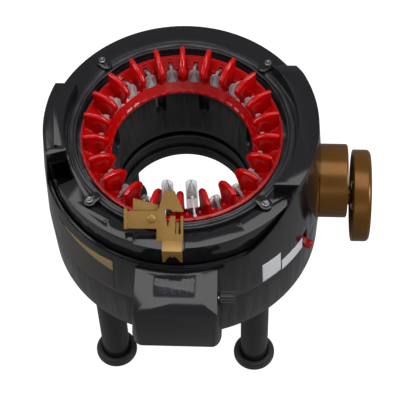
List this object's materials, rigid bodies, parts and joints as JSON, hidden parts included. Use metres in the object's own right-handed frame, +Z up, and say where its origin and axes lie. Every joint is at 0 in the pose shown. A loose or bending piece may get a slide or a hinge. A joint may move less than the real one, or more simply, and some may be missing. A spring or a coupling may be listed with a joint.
{
  "type": "circular knitting machine",
  "caption": "Hand-cranked circular knitting machine: a ring of latch needles turns inside a round black housing on legs, with a row counter and a yarn guide.",
  "frame": {"origin": "on the floor, under the centre of the needle circle", "axes": "+Z up, along the needle bed's axis; +X towards the crank; -Y towards the row counter"},
  "size_m": [0.2999, 0.2893, 0.2841],
  "materials": {
    "black_shell": "glossy",
    "black_inner": "satin",
    "red_plastic": "glossy",
    "white_plastic": "translucent, smooth",
    "gear_plastic": "satin",
    "bronze_plastic": "pearl bronze",
    "gold_plastic": "pearl gold",
    "steel": "turned",
    "bush": "plain",
    "pane": "clear, slightly smoked",
    "rubber": "soft, matt"
  },
  "bodies": {
    "frame": {"lower_housing": "black_shell", "base_plate": "black_inner", "inner_ring": "black_inner", "upper_housing": "black_shell", "top_cover": "black_shell", "retaining_ring": "black_inner", "retaining_clips": "black_shell", "screws": "steel", "cam_ring": "gear_plastic", "crank_bearing": "bush", "crank_collar": "bronze_plastic", "guide_base": "black_shell", "guide_plate": "gold_plastic", "guide_rivet": "gold_plastic", "counter_case": "black_shell", "counter_window": "pane", "legs": "black_shell", "rubber_feet": "rubber"},
    "needle_bed": {"needle_cylinder": "black_inner", "crown_gear": "gear_plastic", "fin_ring": "red_plastic"},
    "crank": {"crank_shaft": "steel", "pinion": "gear_plastic", "crank_hub": "bronze_plastic", "crank_pin": "bronze_plastic", "crank_screw": "steel"},
    "crank_disc": {"crank_disc": "bronze_plastic"},
    "mode_lever": {"mode_lever": "red_plastic"},
    "guide_arm": {"guide_arm": "gold_plastic"},
    "reset_knob": {"reset_knob": "black_shell", "counter_shaft": "steel"},
    "counter_lever": {"counter_lever": "gear_plastic"},
    "number_wheel_1": {"number_wheel_1": "black_inner"},
    "number_wheel_2": {"number_wheel_2": "black_inner"},
    "number_wheel_3": {"number_wheel_3": "black_inner"},
    "number_wheel_4": {"number_wheel_4": "black_inner"},
    "needle_01": {"needle_01": "white_plastic"},
    "needle_02": {"needle_02": "white_plastic"},
    "needle_03": {"needle_03": "white_plastic"},
    "needle_04": {"needle_04": "white_plastic"},
    "needle_05": {"needle_05": "white_plastic"},
    "needle_06": {"needle_06": "white_plastic"},
    "needle_07": {"needle_07": "white_plastic"},
    "needle_08": {"needle_08": "white_plastic"},
    "needle_09": {"needle_09": "white_plastic"},
    "needle_10": {"needle_10": "white_plastic"},
    "needle_11": {"needle_11": "white_plastic"},
    "needle_12": {"needle_12": "white_plastic"},
    "needle_13": {"needle_13": "white_plastic"},
    "needle_14": {"needle_14": "white_plastic"},
    "needle_15": {"needle_15": "white_plastic"},
    "needle_16": {"needle_16": "white_plastic"},
    "needle_17": {"needle_17": "white_plastic"},
    "needle_18": {"needle_18": "white_plastic"},
    "needle_19": {"needle_19": "white_plastic"},
    "needle_20": {"needle_20": "white_plastic"},
    "needle_21": {"needle_21": "white_plastic"},
    "needle_22": {"needle_22": "white_plastic"},
    "latch_11": {"latch_11": "white_plastic"},
    "latch_12": {"latch_12": "white_plastic"}
  },
  "joints": [
    {"name": "bed_spin", "type": "hinge", "parent": "frame", "child": "needle_bed", "pos_m": [0, 0, 0.22], "axis": [0, 0, 1], "continuous": true},
    {"name": "crank_spin", "type": "hinge", "parent": "frame", "child": "crank", "pos_m": [0.119, 0, 0.177], "axis": [1, 0, 0], "continuous": true},
    {"name": "disc_spin", "type": "hinge", "parent": "crank", "child": "crank_disc", "pos_m": [0.156, 0, 0.1525], "axis": [1, 0, 0], "continuous": true},
    {"name": "mode_slide", "type": "slide", "parent": "frame", "child": "mode_lever", "axis": [0, 0, 1], "range_m": [0, 0.014]},
    {"name": "guide_arm_swing", "type": "hinge", "parent": "frame", "child": "guide_arm", "pos_m": [-0.0203, -0.10111, 0.26575], "axis": [0, -0.7501, 0.6613], "range_deg": [-10, 40]},
    {"name": "reset_spin", "type": "hinge", "parent": "frame", "child": "reset_knob", "pos_m": [0.04, -0.14, 0.2018], "axis": [1, 0, 0], "continuous": true},
    {"name": "counter_lever_swing", "type": "hinge", "parent": "frame", "child": "counter_lever", "pos_m": [0, -0.129, 0.19], "axis": [0, 0, 1], "range_deg": [-10, 10], "stiffness_Nm_per_rad": 0.02},
    {"name": "number_wheel_1_spin", "type": "hinge", "parent": "frame", "child": "number_wheel_1", "pos_m": [0.0095, -0.14, 0.2018], "axis": [1, 0, 0], "continuous": true},
    {"name": "number_wheel_2_spin", "type": "hinge", "parent": "frame", "child": "number_wheel_2", "pos_m": [0.0032, -0.14, 0.2018], "axis": [1, 0, 0], "continuous": true},
    {"name": "number_wheel_3_spin", "type": "hinge", "parent": "frame", "child": "number_wheel_3", "pos_m": [-0.0031, -0.14, 0.2018], "axis": [1, 0, 0], "continuous": true},
    {"name": "number_wheel_4_spin", "type": "hinge", "parent": "frame", "child": "number_wheel_4", "pos_m": [-0.0094, -0.14, 0.2018], "axis": [1, 0, 0], "continuous": true},
    {"name": "needle_01_slide", "type": "slide", "parent": "needle_bed", "child": "needle_01", "axis": [0, 0, 1], "range_m": [0, 0.033]},
    {"name": "needle_02_slide", "type": "slide", "parent": "needle_bed", "child": "needle_02", "axis": [0, 0, 1], "range_m": [0, 0.033]},
    {"name": "needle_03_slide", "type": "slide", "parent": "needle_bed", "child": "needle_03", "axis": [0, 0, 1], "range_m": [0, 0.033]},
    {"name": "needle_04_slide", "type": "slide", "parent": "needle_bed", "child": "needle_04", "axis": [0, 0, 1], "range_m": [0, 0.033]},
    {"name": "needle_05_slide", "type": "slide", "parent": "needle_bed", "child": "needle_05", "axis": [0, 0, 1], "range_m": [0, 0.033]},
    {"name": "needle_06_slide", "type": "slide", "parent": "needle_bed", "child": "needle_06", "axis": [0, 0, 1], "range_m": [0, 0.033]},
    {"name": "needle_07_slide", "type": "slide", "parent": "needle_bed", "child": "needle_07", "axis": [0, 0, 1], "range_m": [0, 0.033]},
    {"name": "needle_08_slide", "type": "slide", "parent": "needle_bed", "child": "needle_08", "axis": [0, 0, 1], "range_m": [0, 0.033]},
    {"name": "needle_09_slide", "type": "slide", "parent": "needle_bed", "child": "needle_09", "axis": [0, 0, 1], "range_m": [0, 0.033]},
    {"name": "needle_10_slide", "type": "slide", "parent": "needle_bed", "child": "needle_10", "axis": [0, 0, 1], "range_m": [0, 0.033]},
    {"name": "needle_11_slide", "type": "slide", "parent": "needle_bed", "child": "needle_11", "axis": [0, 0, 1], "range_m": [-0.033, 0]},
    {"name": "needle_12_slide", "type": "slide", "parent": "needle_bed", "child": "needle_12", "axis": [0, 0, 1], "range_m": [-0.033, 0]},
    {"name": "needle_13_slide", "type": "slide", "parent": "needle_bed", "child": "needle_13", "axis": [0, 0, 1], "range_m": [0, 0.033]},
    {"name": "needle_14_slide", "type": "slide", "parent": "needle_bed", "child": "needle_14", "axis": [0, 0, 1], "range_m": [0, 0.033]},
    {"name": "needle_15_slide", "type": "slide", "parent": "needle_bed", "child": "needle_15", "axis": [0, 0, 1], "range_m": [0, 0.033]},
    {"name": "needle_16_slide", "type": "slide", "parent": "needle_bed", "child": "needle_16", "axis": [0, 0, 1], "range_m": [0, 0.033]},
    {"name": "needle_17_slide", "type": "slide", "parent": "needle_bed", "child": "needle_17", "axis": [0, 0, 1], "range_m": [0, 0.033]},
    {"name": "needle_18_slide", "type": "slide", "parent": "needle_bed", "child": "needle_18", "axis": [0, 0, 1], "range_m": [0, 0.033]},
    {"name": "needle_19_slide", "type": "slide", "parent": "needle_bed", "child": "needle_19", "axis": [0, 0, 1], "range_m": [0, 0.033]},
    {"name": "needle_20_slide", "type": "slide", "parent": "needle_bed", "child": "needle_20", "axis": [0, 0, 1], "range_m": [0, 0.033]},
    {"name": "needle_21_slide", "type": "slide", "parent": "needle_bed", "child": "needle_21", "axis": [0, 0, 1], "range_m": [0, 0.033]},
    {"name": "needle_22_slide", "type": "slide", "parent": "needle_bed", "child": "needle_22", "axis": [0, 0, 1], "range_m": [0, 0.033]},
    {"name": "latch_11_swing", "type": "hinge", "parent": "needle_11", "child": "latch_11", "pos_m": [-0.00851, -0.07472, 0.259], "axis": [-0.9936, 0.1132, 0], "range_deg": [0, 80]},
    {"name": "latch_12_swing", "type": "hinge", "parent": "needle_12", "child": "latch_12", "pos_m": [0.01288, -0.07409, 0.259], "axis": [-0.9852, -0.1713, 0], "range_deg": [0, 80]}
  ],
  "couplings": [
    {"joint": "crank_spin", "follows": "bed_spin", "ratio": -5.5},
    {"joint": "number_wheel_1_spin", "follows": "bed_spin", "ratio": 0.1},
    {"joint": "number_wheel_2_spin", "follows": "bed_spin", "ratio": 0.01},
    {"joint": "number_wheel_3_spin", "follows": "bed_spin", "ratio": 0.001},
    {"joint": "number_wheel_4_spin", "follows": "bed_spin", "ratio": 0.0001},
    {"joint": "latch_11_swing", "follows": "needle_11_slide", "rad_per_m": -41.782},
    {"joint": "latch_12_swing", "follows": "needle_12_slide", "rad_per_m": -41.782}
  ]
}
